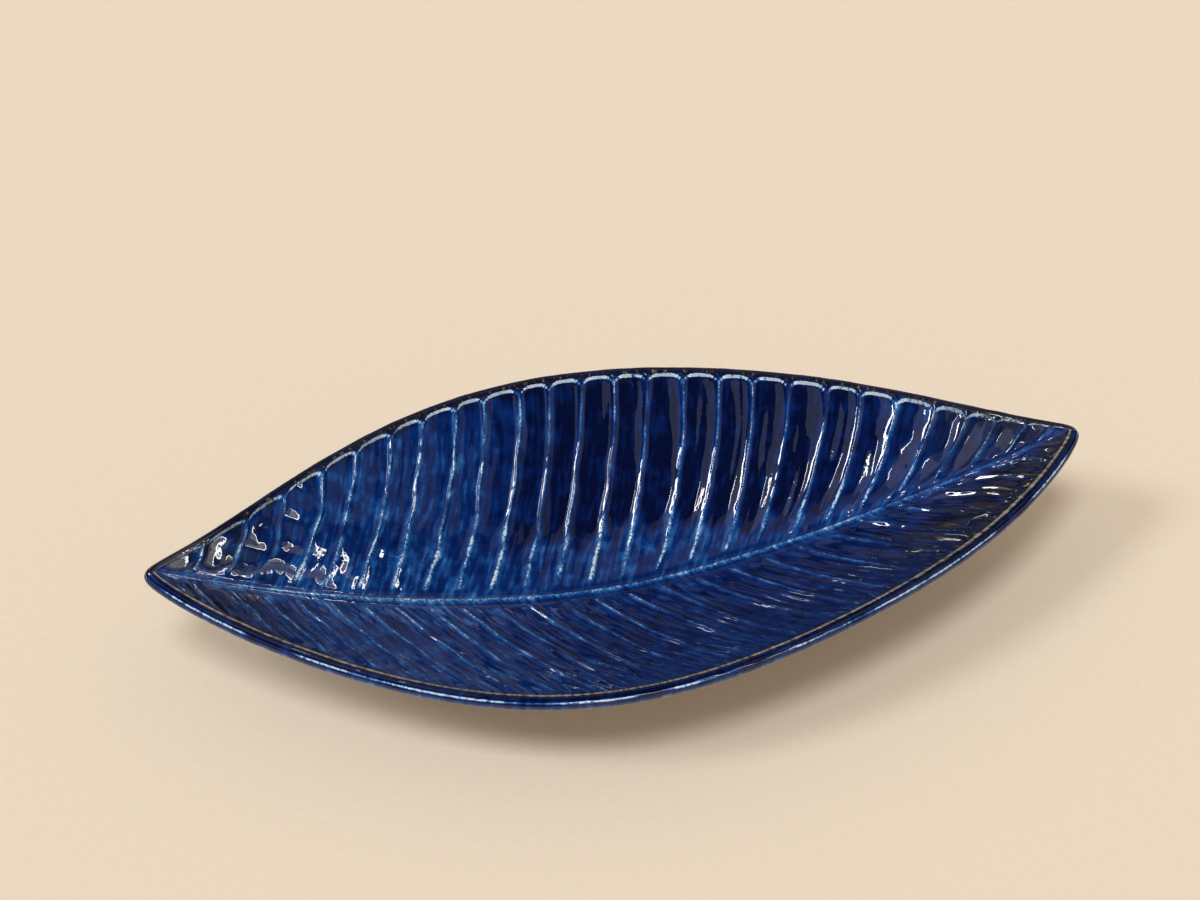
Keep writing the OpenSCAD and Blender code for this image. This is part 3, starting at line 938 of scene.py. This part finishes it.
class LEAFDISH_OT_stage(bpy.types.Operator):
    """Pale floor, soft studio light and the camera"""
    bl_idname = "leaf_dish.stage"
    bl_label = "Stage"

    def execute(self, context):
        scene = context.scene
        dish = scene.leaf_dish
        self.add_floor(scene, dish.stage)
        self.add_light(scene, dish.stage)
        self.add_camera(scene, Leaf(dish).tip_z * MM, dish.stage.camera_distance)
        scene.view_settings.view_transform = "Standard"
        return {"FINISHED"}

    def add_floor(self, scene, look):
        """Level square floor under the dish."""
        mesh = bpy.data.meshes.new("floor")
        half = FLOOR_SIZE / 2
        corners = [(-half, -half, 0), (half, -half, 0), (half, half, 0), (-half, half, 0)]
        mesh.from_pydata(corners, [], [(0, 1, 2, 3)])
        mesh.materials.append(painted_board(look))
        floor = bpy.data.objects.new("floor", mesh)
        scene.collection.objects.link(floor)

    def add_light(self, scene, look):
        """Soft light from the left and from the front, a warm light that fills the shadows, and panels that
        only show as reflections. The world is even light for surfaces, dim in the gloss and a pale backdrop.
        """
        add_sun("side_light", (-1.0, -0.2, 1.0), look.side_light, DAYLIGHT)
        add_sun("front_light", (-0.25, -0.54, 1.0), look.front_light, DAYLIGHT)
        add_sun("fill_light", (0.0, -0.3, 1.0), look.fill_light, AMBER, shadow=False)
        # Bright lines and blots beside the far side's veins
        add_panel("highlight_strip", (-0.22, -0.2), (0.3, 0.5), look.highlight, WHITE)
        add_panel("left_softbox", (-0.74, -0.54), (0.5, 1.0), look.highlight, WHITE)
        # Broad dim veils in the gloss
        add_panel("left_panel", (-0.52, -0.16), (-0.1, 0.9), 0.7, BLUE)
        add_panel("back_panel", (-1.5, 0.32), (0.45, 1.7), 0.25, WARM)
        add_panel("horizon_panel", (-4.0, 4.0), (2.8, 8.0), 0.12, WARM)
        add_panel("right_panel", (0.42, 1.5), (-0.6, 0.02), 0.5, COOL)
        add_panel("right_low_panel", (0.42, 1.5), (0.02, 0.45), 0.25, COOL)
        add_panel("corner_panel", (0.5, 1.9), (1.0, 2.3), 0.6, WARM)
        # A brighter panel with two white edges, which shows at the stem end
        add_panel("corner_softbox", (0.82, 1.38), (0.84, 1.23), 1.6, WARM)
        add_panel("corner_strip", (0.82, 0.87), (0.84, 1.23), 18.0, WHITE)
        add_panel("corner_sill", (0.87, 1.38), (0.84, 0.89), 18.0, WHITE)
        # Small dashes on the near side, and the line along the near rim
        add_panel("low_strip", (-0.7, -0.2), (4.3, 4.9), 6.0, WHITE)
        add_panel("front_strip", (-0.4, 1.9), (-1.8, -1.45), 12.0, WHITE)
        world = bpy.data.worlds.new("studio")
        world.use_nodes = True
        scene.world = world
        tree = world.node_tree
        tree.nodes.remove(tree.nodes["Background"])
        paths = add_node(tree, "ShaderNodeLightPath")
        even, dark, pale = (add_node(tree, "ShaderNodeBackground", None,
                                     {"Color": (*linear(tint), 1), "Strength": power}).outputs[0]
                            for tint, power in (AMBIENT, GLOSS_DARK, BACKDROP))
        mixed = add_node(tree, "ShaderNodeMixShader", {0: paths.outputs["Is Glossy Ray"], 1: even, 2: dark})
        seen = add_node(tree, "ShaderNodeMixShader", {0: paths.outputs["Is Camera Ray"],
                                                      1: mixed.outputs[0], 2: pale})
        tree.links.new(seen.outputs[0], tree.nodes["World Output"].inputs["Surface"])

    def add_camera(self, scene, tip_z, distance):
        """Camera on the photograph's line of sight, aimed so that the tips' middle falls where it does there.

        The aim is the middle itself, less its place in the frame, in metres at that distance.
        """
        back = Vector((math.sin(VIEW_AZIMUTH) * math.cos(VIEW_ELEVATION),
                       -math.cos(VIEW_AZIMUTH) * math.cos(VIEW_ELEVATION), math.sin(VIEW_ELEVATION)))
        right = Vector((math.cos(VIEW_AZIMUTH), math.sin(VIEW_AZIMUTH), 0))
        up = back.cross(right)
        middle = Vector((0, 0, tip_z))
        metres = distance / FOCAL_PIXELS
        aim = middle - right * (TIPS_MIDDLE[0] - FRAME_SIZE[0] / 2) * metres
        aim += up * (TIPS_MIDDLE[1] - FRAME_SIZE[1] / 2) * metres
        data = bpy.data.cameras.new("camera")
        data.sensor_width = SENSOR
        data.lens = FOCAL_PIXELS / FRAME_SIZE[0] * SENSOR
        camera = bpy.data.objects.new("camera", data)
        camera.location = middle + back * distance
        camera.rotation_euler = (aim - camera.location).to_track_quat("-Z", "Y").to_euler()
        scene.collection.objects.link(camera)
        scene.camera = camera


STEPS = (LEAFDISH_OT_inside_glaze, LEAFDISH_OT_outside_glaze, LEAFDISH_OT_clay_body, LEAFDISH_OT_foot_ring,
         LEAFDISH_OT_stage)


class LEAFDISH_PT_panel(bpy.types.Panel):
    """Sizes, colours and steps of the leaf dish"""
    bl_idname = "LEAFDISH_PT_panel"
    bl_label = "Leaf Dish"
    bl_space_type = "VIEW_3D"
    bl_region_type = "UI"
    bl_category = "Leaf Dish"

    def draw(self, context):
        dish = context.scene.leaf_dish
        for group in (dish.sizes, dish.veins, dish.colours, dish.stage):
            box = self.layout.box()
            for key in group.__annotations__:
                box.prop(group, key)
        for step in STEPS:
            self.layout.operator(step.bl_idname)


CLASSES = (LeafSizes, VeinSizes, GlazeColours, StageLook, LeafDish, *STEPS, LEAFDISH_PT_panel)


def register():
    for kind in CLASSES:
        bpy.utils.register_class(kind)
    bpy.types.Scene.leaf_dish = PointerProperty(type=LeafDish)


def unregister():
    del bpy.types.Scene.leaf_dish
    for kind in reversed(CLASSES):
        bpy.utils.unregister_class(kind)


def main():
    register()
    bpy.ops.leaf_dish.inside_glaze()
    bpy.ops.leaf_dish.outside_glaze()
    bpy.ops.leaf_dish.clay_body()
    bpy.ops.leaf_dish.foot_ring()
    bpy.ops.leaf_dish.stage()


if __name__ == "__main__":
    main()
